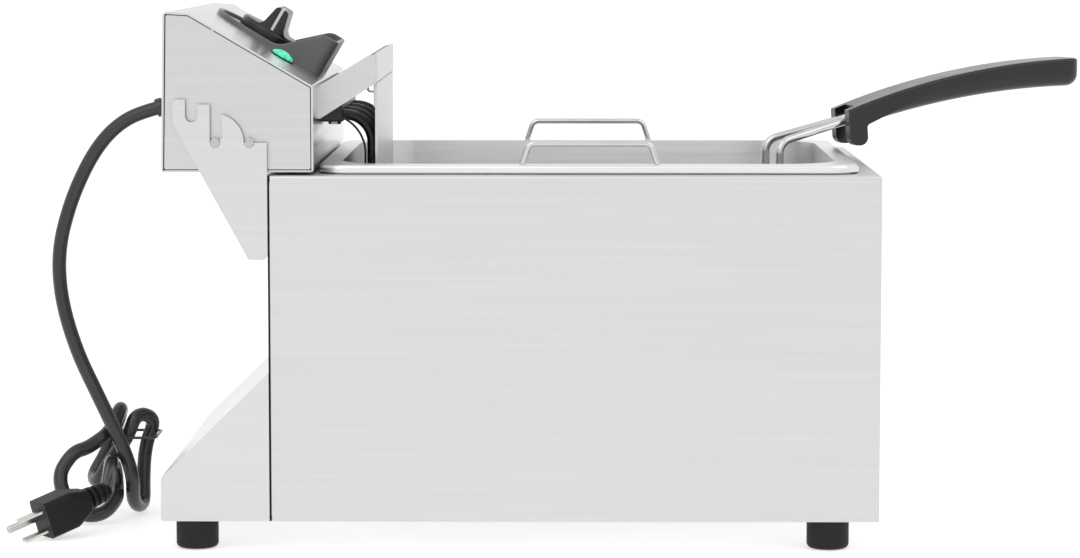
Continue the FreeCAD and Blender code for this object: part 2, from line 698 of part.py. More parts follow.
def hanger():
    """A bent strip that carries the basket while it drains."""
    root, outer = HEAD_FRONT + 1.5, ARM_Y + HANGER_SHEET
    arm = [
        (HEAD_FRONT, 257.6, 0), (root, 257.6, 0), (BAND_X[1], BAND_Z[0], 0), (BAND_X[1], BAND_Z[1], 0),
        (56.5, 295.4, 4), (root, 277.8, 0), (HEAD_FRONT, 276.2, 0),
    ]
    strip = box(BAND_X, (-outer, outer), BAND_Z)
    near = side_prism(arm, -outer, -ARM_Y)
    lug = box((HEAD_FRONT, HEAD_FRONT + HANGER_SHEET), (-ARM_Y, -ARM_Y + 16), (258.5, 275.5))
    for piece in both_sides(near.fuse(lug)):
        strip = strip.fuse(piece)
    strip = strip.removeSplitter()

    def fold(edge):
        bounds = edge.BoundBox
        return bounds.ZLength > 10 and bounds.XMin > BAND_X[1] - 1e-3 and abs(edge.CenterOfMass.y) > ARM_Y + 1

    return round_edges(strip, 1.2, fold)


def hanger_screws():
    """One screw through each foot of the hanger."""
    screws = []
    for side in (-1, 1):
        spot = (HEAD_FRONT + HANGER_SHEET, side * (ARM_Y - 9), 267.0)
        screws.append(pan_screw(spot, (1, 0, 0), 7.0, HANGER_SHEET, 3.5))
    return screws


def guard_plate():
    """The plate under the hanger that keeps the basket off the element risers."""
    plate = box(BAND_X, (-GUARD_PLATE_HALF, GUARD_PLATE_HALF), (GUARD_PLATE_BOTTOM, 278.8))
    flat = lambda e: e.BoundBox.XLength > 1 and e.BoundBox.ZMax < GUARD_PLATE_BOTTOM + 1e-3
    plate = round_edges(plate, 12.0, flat)
    for y in (-80.0, 80.0):
        strap = box((BAND_X[0] - 1.2, BAND_X[0]), (y - 7, y + 7), (264, 291))
        plate = plate.fuse(strap)
    return plate.removeSplitter()


def wire_hook():
    """The small wire hook behind the hanger's band, curled to an eye."""
    x = BAND_X[0]
    stem = [(x, 0, 283), (x - 3.5, 0, 277.5), (x - 5.2, 0, 269.6)]
    eye = [(x - 9.8, 0, 269.6), (x - 9.8, 0, 274.2), (x - 6.6, 0, 274.2)]
    hook = bent_wire(stem + eye, 1.6, 2.0)
    return hook.cut(box((x, x + 5), (-5, 5), (270, 290)))


def element(side):
    """A hairpin tube: out of the block, down into the tank, along its floor and back."""
    legs = [side * y for y in TUBE_LEGS]
    start = HEAD_FRONT + 4
    points = [
        (start, legs[1], TUBE_OUT_Z), (RISER_X, legs[1], TUBE_OUT_Z), (RISER_X, legs[1], TUBE_RUN_Z),
        (TUBE_FRONT, legs[1], TUBE_RUN_Z), (TUBE_FRONT, legs[0], TUBE_RUN_Z), (RISER_X, legs[0], TUBE_RUN_Z),
        (RISER_X, legs[0], TUBE_OUT_Z), (start, legs[0], TUBE_OUT_Z),
    ]
    points = [Vector(*p) for p in points]
    return pipe(rounded_edges(points, [0, TUBE_BEND, 14, 19.9, 19.9, 14, TUBE_BEND, 0]), TUBE_DIAMETER)


def element_block(tubes):
    """The dark block on the head's front that holds the tubes and the capillaries."""
    block = box((HEAD_FRONT, BLOCK_FRONT), (-68, 68), (BLOCK_BOTTOM, 271.0))
    block = round_edges(block, 1.5, lambda e: e.BoundBox.XLength > 5)
    for tube in tubes:
        block = block.cut(tube)
    return block


def element_nuts():
    """Clamping nuts under the block."""
    nuts = []
    for y in (-40.0, 40.0):
        ring = []
        for i in range(7):
            turn = math.radians(60 * i)
            ring.append(Vector(32.4 + 3.9 * math.cos(turn), y + 3.9 * math.sin(turn), BLOCK_BOTTOM))
        nuts.append(Part.Face(Part.makePolygon(ring)).extrude(Vector(0, 0, -2.8)))
    return nuts


def element_braces():
    """Straps under the tubes that hold them and the sensor bulbs."""
    top = TUBE_RUN_Z - TUBE_DIAMETER / 2
    return [box((x, x + 8), (-66, 66), (top - 1.2, top)) for x in (98.0, 190.0)]


def sensor(side):
    """A bulb lying between the tubes, with its thin capillary up to the block and through it."""
    bulb_z = TUBE_RUN_Z - 0.2
    y_out, y_bulb = side * CAPILLARY_Y, side * sum(TUBE_LEGS) / 2
    points = [
        (HEAD_FRONT, y_out, CAPILLARY_Z), (DROP_X, y_out, CAPILLARY_Z), (DROP_X, y_out, bulb_z),
        (DROP_X, y_bulb, bulb_z), (BULB_X[0] + 6, y_bulb, bulb_z),
    ]
    points = [Vector(*p) for p in points]
    capillary = pipe(rounded_edges(points, [0, CAPILLARY_BEND, 9.0, 9.0, 0]), CAPILLARY)
    bulb = rod((BULB_X[0], y_bulb, bulb_z), (BULB_X[1], y_bulb, bulb_z), BULB_DIAMETER)
    bulb = round_edges(bulb, 2.0, lambda e: e.Length > 10 and abs(e.BoundBox.XLength) < 1e-3)
    return capillary.fuse(bulb).removeSplitter()


# Basket, drawn along its own axes

def basket_ring(z, grow):
    """The basket's plan at a height, larger by grow all round."""
    share = (BASKET_TOP - z) / (BASKET_TOP - BASKET_FOOT)
    half_a = BASKET_LENGTH / 2 - BASKET_TAPER * share + grow
    half_b = BASKET_WIDTH / 2 - BASKET_TAPER * share + grow
    return half_a, half_b


def basket_loft(top, bottom, grow):
    """A tapered form between two heights of the basket."""
    rings = []
    for z in (top, bottom):
        half_a, half_b = basket_ring(z, grow)
        corners = rectangle((-half_a, half_a), (-half_b, half_b), BASKET_CORNER + grow)
        rings.append(outline(corners, lambda p, q, z=z: Vector(p, q, z)).OuterWire)
    return Part.makeLoft(rings, True, True)


def basket_mesh():
    """The mesh walls and floor as one thin openwork shell, inside the rim and hoops."""
    top = BASKET_TOP - RIM_WIRE / 2
    floor = BASKET_FOOT + HOOP_WIRE + 0.1
    back = -RIM_WIRE - 0.1
    shell = basket_loft(top, floor, back)
    shell = round_edges(shell, 7.0, lambda e: e.BoundBox.ZMax < floor + 1e-3)
    deck = floor + MESH_THICK
    hollow = basket_loft(top + 1, deck, back - MESH_THICK)
    hollow = round_edges(hollow, 7.0 - MESH_THICK, lambda e: e.BoundBox.ZMax < deck + 1e-3)
    return on_basket(shell.cut(hollow).cut(basket_openings(floor + 7.8, top - 2.0)))


def grid_gaps(count, pitch, middle):
    """The clear spaces between the bars of a grid, as pairs either side of its middle."""
    start = middle - pitch * count / 2
    half_bar = GRID_BAR / 2
    return [(start + pitch * i + half_bar, start + pitch * (i + 1) - half_bar) for i in range(count)]


def basket_openings(low, high):
    """Prisms that open the mesh: through both long walls, both short walls and the floor."""
    reach = BASKET_LENGTH
    rows = grid_gaps(GRID_ROWS, (high - low) / GRID_ROWS, (high + low) / 2)
    along = grid_gaps(GRID_LONG, GRID_PITCH, 0)
    across = grid_gaps(GRID_SHORT, GRID_PITCH, 0)
    prisms = [box(a, (-reach, reach), z) for a in along for z in rows]
    prisms += [box((-reach, reach), b, z) for b in across for z in rows]
    prisms += [box(a, b, (BASKET_FOOT, low)) for a in along for b in across]
    return prisms


def basket_rim():
    """The heavy wire round the basket's mouth."""
    z = BASKET_TOP - RIM_WIRE / 2
    half_a, half_b = basket_ring(z, -RIM_WIRE / 2)
    corner = BASKET_CORNER - RIM_WIRE / 2
    return on_basket(ring_wire((-half_a, half_a), (-half_b, half_b), z, corner, RIM_WIRE))


def basket_hoops():
    """Wires under and round the basket that it stands on."""
    hoops = []
    low = BASKET_FOOT + HOOP_WIRE / 2
    high = BASKET_TOP - RIM_WIRE - HOOP_WIRE / 2 - 0.2
    out = -RIM_WIRE + HOOP_WIRE / 2 + 0.1
    for a in (-3 * GRID_PITCH, 0, 3 * GRID_PITCH):
        wide, narrow = basket_ring(high, out)[1], basket_ring(low, out)[1]
        points = [(a, -wide, high), (a, -narrow, low), (a, narrow, low), (a, wide, high)]
        hoops.append(on_basket(bent_wire(points, HOOP_WIRE, 7.0)))
    cross_rise = 6.0
    cross_z = ROD_FOOT + cross_rise
    rod_a = rod_foot_a() + (ROD_A - rod_foot_a()) * cross_rise / (BASKET_TOP - ROD_FOOT)
    cross_a = rod_a - (ROD_WIRE + HOOP_WIRE) / 2 - 0.1
    hoops.append(on_basket(rod((cross_a, -34, cross_z), (cross_a, 34, cross_z), HOOP_WIRE)))
    return hoops


def rod_foot_a():
    """Where the rods end, drawn in with the basket's taper."""
    return ROD_A - BASKET_TAPER * (BASKET_TOP - ROD_FOOT) / (BASKET_TOP - BASKET_FOOT)


def handle_rods():
    """The two rods from the front of the basket up into the grip."""
    rods = []
    for side in (-1, 1):
        b = side * ROD_SPREAD
        points = [
            (rod_foot_a(), b, ROD_FOOT), (ROD_A, b, BASKET_TOP), (ROD_A, b, ROD_BEND_Z),
            (GRIP_A[0] + 3, side * 7.5, 249.6), (GRIP_A[0] + 46, side * 7.5, 263.0),
        ]
        points = [Vector(*p) for p in points]
        rods.append(pipe(rounded_edges(points, [0, 50.0, 9.0, 30.0, 0]), ROD_WIRE))
    return rods


def grip(rods):
    """The moulded grip, with two prongs turned down beside the rods at the basket end."""
    start, end = GRIP_A
    crown = Part.Arc(Vector(start, 0, 256.4), Vector(230, 0, 279.2), Vector(end, 0, 288.6)).toShape()
    belly = Part.Arc(Vector(end, 0, 270.5), Vector(240, 0, 264.6), Vector(start + 16.2, 0, 248.4)).toShape()
    prong = [(16.2, 248.4), (12.8, 246.8), (13.8, 233.8), (1.6, 233.8), (0.0, 256.4)]
    points = [Vector(start + a, 0, z) for a, z in prong]
    edges = [crown, Part.LineSegment(Vector(end, 0, 288.6), Vector(end, 0, 270.5)).toShape(), belly]
    edges += rounded_edges(points, [0, 2.5, 5.2, 5.2, 0])
    face = Part.Face(Part.Wire(Part.__sortEdges__(edges)))
    half = GRIP_WIDTH / 2
    face.translate(Vector(0, -half, 0))
    body = face.extrude(Vector(0, GRIP_WIDTH, 0))
    plan = [(start, -half, 0), (end, -half, GRIP_END_ROUND), (end, half, GRIP_END_ROUND), (start, half, 0)]
    body = body.common(plan_prism(plan, 225, 295))
    for radius, low in ((GRIP_BELLY_ROUND, True), (GRIP_CROWN_ROUND, False)):
        along = lambda e: e.BoundBox.YLength < 0.1 and e.BoundBox.XLength > 100
        body = round_edges(body, radius, lambda e: along(e) and (e.CenterOfMass.z < 268) == low)
    mouth = box((start - 5, start + 7), (-GRIP_SLOT / 2, GRIP_SLOT / 2), (225, 290))
    groove = box((start - 5, start + 24), (-GRIP_SLOT / 2, GRIP_SLOT / 2), (225, 246.5))
    body = body.cut(mouth).cut(groove)
    for bar in rods:
        body = body.cut(bar)
    return on_basket(body)


# Power cord

def cord_heading():
    """The way the cord leaves the head: backwards and a little down."""
    tilt = math.radians(RELIEF_TILT)
    return Vector(-math.cos(tilt), 0, -math.sin(tilt))


def strain_relief():
    """The tapered bush where the cord leaves the head, with a flange inside."""
    away = cord_heading()
    sleeve = Part.makeCone(7.0, CORD_DIAMETER / 2 + 1.4, RELIEF_LENGTH, RELIEF_EXIT, away)
    neck = Part.makeCylinder(7.0, 6.0, RELIEF_EXIT - away * 6, away)
    bush = sleeve.fuse(neck)
    for i in range(3):
        spot = RELIEF_EXIT + away * (7.0 + i * 4.0)
        groove = Part.makeCylinder(9, 1.4, spot, away).cut(Part.makeCylinder(5.6, 1.4, spot, away))
        bush = bush.cut(groove)
    return bush.removeSplitter()


def largest_bends(points):
    """For each corner of a free cord, the largest radius that its two runs allow."""
    radii = [0.0]
    for before, corner, after in zip(points, points[1:], points[2:]):
        turn = (corner - before).getAngle(after - corner)
        run = min((corner - before).Length, (after - corner).Length)
        radii.append(0.45 * run / math.tan(turn / 2))
    return radii + [0.0]


def path_length(edges):
    """The length of a run of edges."""
    return sum(edge.Length for edge in edges)


def free_cord(name, points):
    """A stretch of cord that isn't wound, with its bends printed."""
    radii = largest_bends(points)
    edges = rounded_edges(points, radii)
    tube = pipe(edges, CORD_DIAMETER)
    section = math.pi * CORD_DIAMETER ** 2 / 4
    print(name, "radii", [round(r, 1) for r in radii[1:-1]], "length", round(path_length(edges), 1),
          "volume over section times length", round(tube.Volume / (section * path_length(edges)), 4))
    return tube, path_length(edges)


def biarc(start, heading, end, way):
    """Two tangent arcs from one point and heading to another."""
    gap = end - start
    both = heading + way
    spare = 2 * (1 - heading.dot(way))
    pull = gap.dot(both)
    if abs(spare) < 1e-9:
        reach = gap.dot(gap) / (4 * gap.dot(way))
    else:
        reach = (-pull + math.sqrt(pull * pull + spare * gap.dot(gap))) / spare
    first, second = start + heading * reach, end - way * reach
    join = (first + second) * 0.5
    return [tangent_arc(start, first, join), tangent_arc(join, second, end)]


def tangent_arc(start, corner, end):
    """The arc between two points whose tangents meet at a corner."""
    middle = (start + end) * 0.5
    rise = corner - middle
    half = (end - start).Length / 2
    if rise.Length < 1e-4 * half:
        return Part.LineSegment(start, end).toShape()
    bulge = half * math.tan(math.atan2(rise.Length, half) / 2)
    return Part.Arc(start, middle + rise.normalize() * bulge, end).toShape()


def hank_points():
    """The quarter points of the tied loops, then the loose loop, in the order that the cord takes them."""
    points = [Vector(*HANK_START)]
    side = Vector(0, HANK_HALF, 0)
    for i, (bottom, top) in enumerate(HANK_LOOPS):
        bottom, top = Vector(*bottom), Vector(*top)
        if i:
            points.append((points[-1] + bottom) * 0.5 - side)
        points += [bottom, (bottom + top) * 0.5 + side, top]
    return points + [Vector(*point) for point in LOOSE_LOOP]


def hank_headings(points, first, last):
    """The cord's heading at each quarter point, from its neighbours."""
    headings = [first]
    for before, after in zip(points, points[2:]):
        headings.append((after - before).normalize())
    return headings + [last]


def least_gap(edges):
    """The least gap that a wound cord leaves to itself, on points a millimetre apart."""
    spots = []
    for edge in edges:
        count = max(2, int(edge.Length))
        spots += edge.discretize(count + 1)[:-1]
    skip = int(2.2 * CORD_DIAMETER)
    nearest = 1e9
    for i, spot in enumerate(spots):
        for other in spots[i + skip:]:
            nearest = min(nearest, (spot - other).Length)
    return nearest - CORD_DIAMETER


def cord_hank(first, last):
    """The tied hank: one unbroken tube with straight ends."""
    points = hank_points()
    headings = hank_headings(points, first, last)
    edges = [Part.LineSegment(points[0] - first * CORD_DIAMETER, points[0]).toShape()]
    for i in range(len(points) - 1):
        edges += biarc(points[i], headings[i], points[i + 1], headings[i + 1])
    edges.append(Part.LineSegment(points[-1], points[-1] + last * CORD_DIAMETER).toShape())
    bends = [edge.Curve.Radius for edge in edges if hasattr(edge.Curve, "Radius")]
    print("hank length", round(path_length(edges), 1), "least gap to itself", round(least_gap(edges), 2),
          "tightest bend", round(min(bends), 1))
    return pipe(edges, CORD_DIAMETER), path_length(edges)


def plug_frame(shape):
    """A plug shape drawn along X, turned and tipped so that its face rests on the table."""
    moved = shape.copy()
    turn = FreeCAD.Rotation(Vector(0, 0, 1), PLUG_TURN)
    drop = FreeCAD.Rotation(Vector(0, 1, 0), PLUG_DROP)
    moved.Placement = FreeCAD.Placement(PLUG_REAR, turn.multiply(drop))
    return moved


def plug_ring(x, width, height):
    """A rounded rectangle across the plug."""
    corners = rectangle((-width / 2, width / 2), (-height / 2, height / 2), 3.0)
    return outline(corners, lambda y, z: Vector(x, y, z)).OuterWire


def plug_body():
    """The moulded plug: a ribbed tail, a widening neck and a block, drawn from the cord's end forwards."""
    length, width, height = PLUG_BODY
    shoulder = PLUG_RELIEF + PLUG_NECK
    face = PLUG_RELIEF + length
    block = Part.makeLoft([plug_ring(shoulder, width, height), plug_ring(face, width, height)], True, True)
    neck = Part.makeLoft([plug_ring(PLUG_RELIEF, 15.0, 15.0), plug_ring(shoulder, width, height)], True, True)
    ahead = Vector(1, 0, 0)
    tail = Part.makeCone(CORD_DIAMETER / 2 + 1.4, 7.4, PLUG_RELIEF, Vector(0, 0, 0), ahead)
    for i in range(3):
        spot = Vector(3.0 + i * 4.2, 0, 0)
        groove = Part.makeCylinder(12, 1.8, spot, ahead)
        tail = tail.cut(groove.cut(Part.makeCylinder(5.3, 1.8, spot, ahead)))
    return plug_frame(block.fuse([neck, tail]).removeSplitter())


def plug_pins():
    """Two flat blades one above the other and a round earth pin beside them."""
    face = PLUG_RELIEF + PLUG_BODY[0]
    pins = []
    for z in (-6.35, 6.35):
        blade = box((face, face + 16.5), (0.8, 7.2), (z - 0.75, z + 0.75))
        tip = lambda e: e.BoundBox.ZLength > 1 and e.CenterOfMass.x > face + 16
        pins.append(plug_frame(round_edges(blade, 0.7, tip)))
    earth = Part.makeCylinder(2.4, 20.5, Vector(face, -7.9, 0), Vector(1, 0, 0))
    pins.append(plug_frame(round_edges(earth, 2.0, lambda e: e.CenterOfMass.x > face + 19)))
    return pins


def cord_tie():
    """The wire tie round the waist of the hank."""
    return ring_wire(TIE_X, TIE_Y, TIE_Z, 5.0, TIE_WIRE)


def cord_nodes():
    """The cord's pieces, each meeting the next face to face."""
    start = RELIEF_EXIT + cord_heading() * RELIEF_LENGTH
    enter = (Vector(*HANK_START) - Vector(*LEAD_POINTS[-1])).normalize()
    hank_in = Vector(*HANK_START) - enter * CORD_DIAMETER
    leave = (Vector(*TAIL_POINTS[0]) - Vector(*LOOSE_LOOP[-1])).normalize()
    hank_out = Vector(*LOOSE_LOOP[-1]) + leave * CORD_DIAMETER
    lead_points = [start] + [Vector(*p) for p in LEAD_POINTS] + [hank_in]
    lead, lead_length = free_cord("lead", lead_points)
    hank, hank_length = cord_hank(enter, leave)
    tail, tail_length = free_cord("tail", [hank_out] + [Vector(*p) for p in TAIL_POINTS] + [PLUG_REAR])
    print("cord length", round(lead_length + hank_length + tail_length, 1))
    return {
        "cord_lead": lead,
        "cord_hank": hank,
        "cord_tail": tail,
        "cord_tie": cord_tie(),
        "plug_body": plug_body().cut(tail),
        "strain_relief": strain_relief().cut(lead),
        "plug_pins": group(plug_pins()),
    }


# The whole fryer

def build():
    """Every node by name; the cord's come second, because they don't count in the origin."""
    flange_screws = bracket_screws()
    rear_screws = head_screws()
    arm_screws = hanger_screws()
    places = [("front", FOOT_X[1]), ("rear", FOOT_X[0])]
    feet_screws = [foot_screw(x, y) for _, x in places for y in (-FOOT_Y, FOOT_Y)]
    near_bracket, far_bracket = both_sides(drilled(bracket(), flange_screws))
    near_side, far_side = both_sides(head_side())
    near_pivot, far_pivot = both_sides(head_pin(PIVOT_X))
    near_locating, far_locating = both_sides(head_pin(LOCATING_X))
    tubes = [element(-1), element(1)]
    sensors = [sensor(-1), sensor(1)]
    rods = handle_rods()
    line = knob_line()
    nodes = {
        "body_casing": body_casing(),
        "rear_panel": drilled(rear_panel(), flange_screws),
        "base_plate": drilled(base_plate(), feet_screws),
        "rear_stand": drilled(rear_stand(), feet_screws),
        "oil_tank": oil_tank(),
        "tank_handle_near": tank_handle(-HANDLE_Y),
        "tank_handle_far": tank_handle(HANDLE_Y),
        "bracket_near": near_bracket,
        "bracket_far": far_bracket,
        "bracket_screws": group(flange_screws),
        "head_wrap": drilled(head_wrap(), rear_screws),
        "head_side_near": near_side,
        "head_side_far": far_side,
        "head_base": head_base(),
        "head_screws": group(rear_screws),
        "pivot_pin_near": near_pivot,
        "pivot_pin_far": far_pivot,
        "locating_pin_near": near_locating,
        "locating_pin_far": far_locating,
        "knob_guard": knob_guard(),
        "dial_plate": dial_plate(),
        "knob": on_panel(knob_body().cut(line)),
        "knob_line": on_panel(line),
        "thermostat": thermostat(),
        "thermostat_shaft": thermostat_shaft(),
        "lamp_lens": lamp_lens(),
        "lamp_bezel": lamp_bezel(),
        "limiter": limiter(),
        "terminal_strip": terminal_strip(),
        "interlock_switch": interlock_switch(),
        "hanger": drilled(hanger(), arm_screws),
        "hanger_screws": group(arm_screws),
        "guard_plate": guard_plate(),
        "wire_hook": wire_hook(),
        "element_near": tubes[0],
        "element_far": tubes[1],
        "element_block": element_block(tubes + sensors),
        "element_nuts": group(element_nuts()),
        "element_braces": group(element_braces()),
        "thermostat_sensor": sensors[0],
        "limiter_sensor": sensors[1],
        "basket_mesh": basket_mesh(),
        "basket_rim": basket_rim(),
        "basket_hoops": group(basket_hoops()),
        "handle_rods": group(on_basket(bar) for bar in rods),
        "grip": grip(rods),
    }
    for end, x in places:
        for name, y in (("near", -FOOT_Y), ("far", FOOT_Y)):
            nodes[f"foot_{end}_{name}"] = foot(x, y)
    nodes["foot_screws"] = group(feet_screws)
    return nodes, cord_nodes()


def main():
    nodes, loose = build()
    boxes = [shape.optimalBoundingBox(False, False) for shape in nodes.values()]
    middle = (min(b.XMin for b in boxes) + max(b.XMax for b in boxes)) / 2
    print("origin is at X", round(middle, 3), "from the body's rear face")
    os.makedirs("parts", exist_ok=True)
    for name, shape in {**nodes, **loose}.items():
        placed = shape.copy()
        placed.translate(Vector(-middle, 0, 0))
        if not placed.isValid():
            print("not valid:", name)
        print(name, len(placed.Solids), round(placed.Volume, 1))
        placed.exportStep(f"parts/{name}.step")


main()
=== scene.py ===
"""Looks of a countertop electric deep fryer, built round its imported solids. Lengths are in millimetres
until at() or MM turns them to metres; X is measured from the body's rear face, as on the drawing."""
import math

import bmesh
import bpy
from mathutils import Matrix, Vector


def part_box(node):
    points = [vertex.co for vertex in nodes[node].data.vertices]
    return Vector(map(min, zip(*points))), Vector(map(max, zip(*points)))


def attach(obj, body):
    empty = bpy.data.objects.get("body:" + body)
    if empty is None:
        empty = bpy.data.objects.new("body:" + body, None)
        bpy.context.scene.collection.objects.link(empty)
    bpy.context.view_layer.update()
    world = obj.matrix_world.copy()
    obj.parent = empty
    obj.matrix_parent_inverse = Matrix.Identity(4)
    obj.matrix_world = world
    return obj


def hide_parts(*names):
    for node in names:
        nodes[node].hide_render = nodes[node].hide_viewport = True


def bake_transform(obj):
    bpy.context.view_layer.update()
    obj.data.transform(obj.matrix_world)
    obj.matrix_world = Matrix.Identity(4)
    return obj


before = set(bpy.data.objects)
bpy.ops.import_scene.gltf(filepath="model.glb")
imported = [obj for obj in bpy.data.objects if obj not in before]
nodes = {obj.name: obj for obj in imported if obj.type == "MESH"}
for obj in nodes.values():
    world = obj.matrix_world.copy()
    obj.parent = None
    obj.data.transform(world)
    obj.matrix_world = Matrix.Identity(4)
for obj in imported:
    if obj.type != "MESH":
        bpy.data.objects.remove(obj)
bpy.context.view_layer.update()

MM = 0.001
# The sheet's thickness, the body's rear face, in metres in the part's frame, and half the rear panel's width
SHEET = 1.2
REAR_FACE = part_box("rear_panel")[0].x + SHEET * MM
REAR_PANEL_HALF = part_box("rear_panel")[1].y / MM

# Camera: a long lens, a little above the fryer and looking slightly down at its near side
CAMERA_PLACE = (179.7, -2207.4, 367.6)
CAMERA_PITCH = 5.63
CAMERA_YAW = 0.51
CAMERA_LENS = 115.96
CAMERA_REACH = 200000.0

# Studio: how bright the white surround shines on the object, the floor, each lamp's name, place, width and
# watts, and what the lamps aim at
SURROUND = 0.62
FLOOR_HALF = 60000.0
FLOOR_DROP = 0.5
FLOOR_TONES = ("#e6e6e6", "#eaeaea")
FLOOR_ROUGH = 0.9
FLOOR_GLOW = 0.58
LAMPS = [
    ("key lamp", (-700, -1500, 1700), 1600, 8.0),
    ("fill lamp", (1300, -900, 1500), 1400, 4.5),
]
LAMP_AIM = (180, 0, 150)

# Sizes of the marks in the finishes, how deep their grain is, how far their roughness swings to each side,
# and the wear at which a brushed sheet is roughest
BRUSH_LENGTH = 165.0
CLOUD = 140.0
SCUFF = 22.0
LENS_FACET = 2.2
FLOOR_MOTTLE = 330.0
GRAIN_DEPTH = 0.2
BRUSH_BUMP = 0.05
METAL_SWING = 0.06
PLASTIC_SWING = 0.08
MOST_WORN = 0.5

# The rear panel's edge, painted dark as shade in the groove by the casing: how far it reaches in, its colour
SEAM_SHADE_WIDTH = 0.1
SEAM_SHADE_TONE = "#242424"

# Pilot lamp
LENS_GLOW = 0.72
LENS_ROUGH = 0.1
LENS_IOR = 1.58

# Slanted control panel: U runs down the slope from its upper edge, W out of it
PANEL_CORNER = (-47.5, 322.0)
PANEL_RUN = 73.8
PANEL_DROP = 43.2
PANEL_SLOPE = math.atan2(PANEL_DROP, PANEL_RUN)
KNOB_U = 40.5
DIAL_TOP = 0.6
DIAL_NUMBERS = ("0", "90", "110", "130", "150", "170", "190")
DIAL_NUMBER_HEIGHT = 3.6
DIAL_NUMBER_RADIUS = 28.6
DIAL_SWEEP = 270.0
TICKS_PER_NUMBER = 4
TICK_RADIUS = 23.0
TICK_LENGTHS = (3.2, 1.8)
TICK_WIDTH = 0.5
INK_THICK = 0.08

# Basket, along its own axes
BASKET_TURN = 15.0
BASKET_X = 205.6
BASKET_HALF = (105.0, 75.0)
BASKET_CORNER = 25.0
BASKET_TAPER = 12.0
BASKET_TOP = 212.0
BASKET_FOOT = 102.6
MESH_BACK = 5.8
MESH_WIRE = 1.3
MESH_PITCH = 6.2
MESH_TOP = 209.0
MESH_FLOOR = 107.4
MESH_BEND = 6.3
MESH_BEND_TURNS = (30, 60, 90)

# Power cord, leaving the head backwards and a little down. Points of its line within the least step are one
CORD_DIAMETER = 9.0
CORD_STEPS = 6
CORD_ROUNDNESS = 5
LEAST_STEP = 0.2
CORD_EXIT = (-83.32, 0.0, 258.82)
LEAD_POINTS = [
    (-95.9, 0.0, 255.4), (-108.0, 0.0, 248.3), (-118.6, 0.0, 237.8), (-128.9, 0.0, 221.8),
    (-139.6, -1.0, 197.2), (-146.8, -3.0, 168.5), (-145.0, -7.0, 138.0), (-134.5, -13.5, 105.0),
    (-119.0, -22.5, 76.0),
]

# The tied hank: each loop's bottom and top, and how far its sides stand to the near and the far side
HANK_START = (-102.5, -31.0, 44.0)
HANK_LOOPS = [
    ((-96.5, -8.0, 5.2), (-92.5, 2.0, 62.0)),
    ((-125.5, 0.0, 20.5), (-108.5, 1.0, 66.0)),
]
HANK_HALF = 10.8

# The loose loop that the cord makes between the tie and the plug
LOOSE_LOOP = [
    (-114.2, -19.0, 54.0), (-123.5, -27.5, 47.0), (-135.5, -36.5, 41.0), (-141.5, -43.0, 27.0),
    (-132.5, -48.0, 10.0), (-119.5, -48.6, 5.4), (-108.8, -38.0, 11.6), (-108.8, -23.0, 24.2),
    (-110.3, -35.5, 37.2),
]
TAIL_POINTS = [(-109.4, -47.0, 35.0), (-108.7, -58.0, 32.4), (-108.0, -68.5, 28.8)]
PLUG_REAR = (-108.6, -78.5, 25.3)


# Helpers

def at(x, y, z):
    """A place on the drawing, in metres in the part's frame."""
    return Vector((REAR_FACE + x * MM, y * MM, z * MM))


def hex_colour(code):
    """An sRGB hex colour as linear red, green, blue and a full alpha."""
    parts = [int(code[i:i + 2], 16) / 255 for i in (1, 3, 5)]
    return tuple(c / 12.92 if c <= 0.04045 else ((c + 0.055) / 1.055) ** 2.4 for c in parts) + (1.0,)


def add_node(tree, kind, settings=None, **links):
    """A node, set by property, input name or input number, and linked by input name or _0, _1, _2."""
    node = tree.nodes.new(kind)
    for key, value in (settings or {}).items():
        if isinstance(key, str) and hasattr(node, key):
            setattr(node, key, value)
        else:
            node.inputs[key].default_value = value
    for key, socket in links.items():
        tree.links.new(socket, node.inputs[int(key[1:]) if key[0] == "_" else key])
    return node


def new_material(name):
    """A material with an empty tree, its Principled shader and its output."""
    material = bpy.data.materials.new(name)
    material.use_nodes = True
    tree = material.node_tree
    tree.nodes.clear()
    shader = add_node(tree, "ShaderNodeBsdfPrincipled")
    add_node(tree, "ShaderNodeOutputMaterial", Surface=shader.outputs["BSDF"])
    return material, tree, shader


def finish_piece(name, bm, material, body, smooth=True):
    """A bmesh made an object in the part's frame, which rides on a body where one is named."""
    mesh = bpy.data.meshes.new(name)
    bm.to_mesh(mesh)
    bm.free()
    for face in mesh.polygons:
        face.use_smooth = smooth
    piece = bpy.data.objects.new(name, mesh)
    bpy.context.scene.collection.objects.link(piece)
    mesh.materials.append(material)
    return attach(piece, body) if body else piece


# Materials

